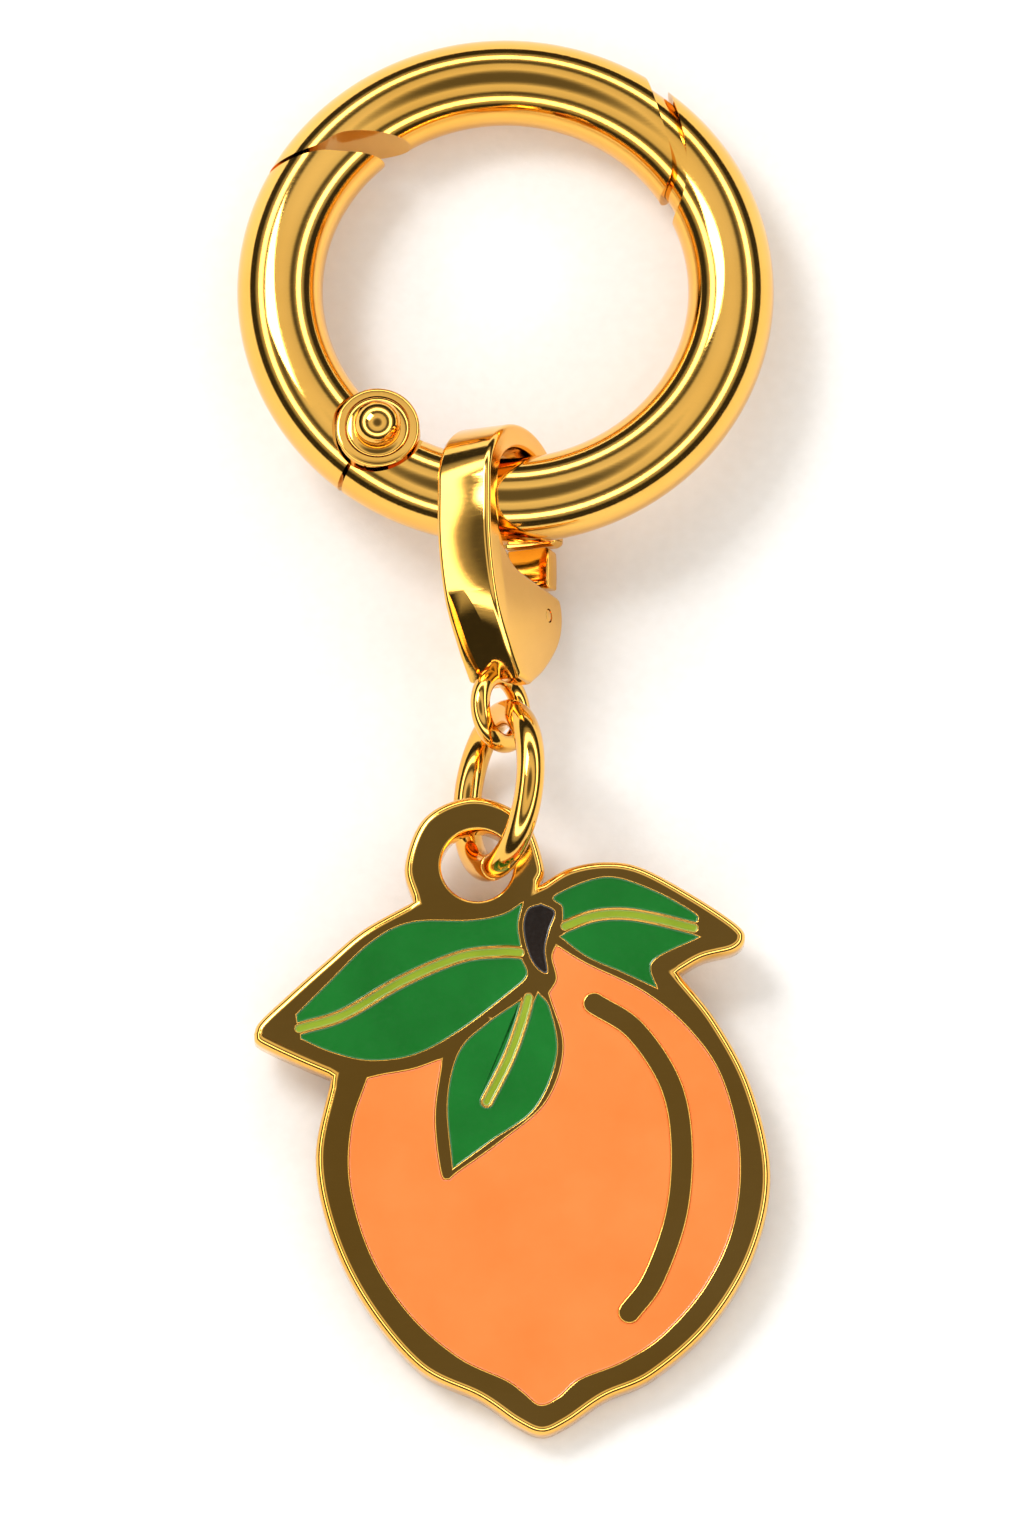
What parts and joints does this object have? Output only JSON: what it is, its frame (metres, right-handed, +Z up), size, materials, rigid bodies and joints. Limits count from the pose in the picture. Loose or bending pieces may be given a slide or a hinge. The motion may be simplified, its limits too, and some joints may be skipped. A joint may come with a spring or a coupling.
{
  "type": "enamel bag charm",
  "caption": "Peach-shaped enamel charm on a jump ring and lobster clasp, hung from a round spring-gate ring: a bag charm or keyring.",
  "frame": {"origin": "middle of the bounding box's base, on the surface that the charm lies on", "axes": "+Y from the charm's tip to the spring-gate ring, +X to the right as the enamel is looked at, +Z up"},
  "size_m": [0.028, 0.0746, 0.0096],
  "materials": {
    "polished_gold": "polished gold plate",
    "spring_steel": "drawn wire",
    "orange_enamel": "glossy enamel",
    "green_enamel": "glossy enamel",
    "lime_enamel": "glossy enamel",
    "black_enamel": "glossy enamel"
  },
  "bodies": {
    "ring": {"ring_body": "polished_gold", "ring_top_arc": "polished_gold", "ring_joint_pin": "polished_gold", "gate_rivet": "polished_gold", "gate_washer": "polished_gold", "gate_spring": "spring_steel"},
    "gate": {"ring_gate": "polished_gold"},
    "clasp": {"clasp_body": "polished_gold", "lever_pin": "polished_gold", "lever_spring": "spring_steel"},
    "lever": {"clasp_lever": "polished_gold"},
    "link": {"jump_ring": "polished_gold"},
    "charm": {"charm_base": "polished_gold", "peach_enamel": "orange_enamel", "left_leaf_upper_enamel": "green_enamel", "left_leaf_lower_enamel": "green_enamel", "right_leaf_upper_enamel": "green_enamel", "right_leaf_lower_enamel": "green_enamel", "middle_leaf_enamel": "green_enamel", "left_vein_enamel": "lime_enamel", "right_vein_enamel": "lime_enamel", "middle_vein_enamel": "lime_enamel", "stem_enamel": "black_enamel"}
  },
  "joints": [
    {"name": "gate_hinge", "type": "hinge", "parent": "ring", "child": "gate", "pos_m": [-0.00665, 0.01493, 0.00435], "axis": [0, -0.1045, -0.9945], "range_deg": [0, 32], "stiffness_Nm_per_rad": 0.003, "springref_deg": -11.46},
    {"name": "clasp_swing", "type": "hinge", "parent": "ring", "child": "clasp", "pos_m": [-0.00025, 0.01169, 0.00469], "axis": [0.9998, -0.0208, 0.0022], "range_deg": [-75, 15]},
    {"name": "lever_hinge", "type": "hinge", "parent": "clasp", "child": "lever", "pos_m": [0.00091, 0.006, 0.00231], "axis": [0.9063, 0, 0.4226], "range_deg": [0, 20], "stiffness_Nm_per_rad": 0.0001, "springref_deg": -17.19},
    {"name": "link_swing", "type": "hinge", "parent": "clasp", "child": "link", "pos_m": [-0.00025, -0.00131, 0.0048], "axis": [-0.6018, 0, 0.7986], "range_deg": [-4, 30]},
    {"name": "charm_swing", "type": "hinge", "parent": "link", "child": "charm", "pos_m": [-0.00146, -0.0048, 0.0033], "axis": [1, 0, 0], "range_deg": [-15, 40]}
  ]
}
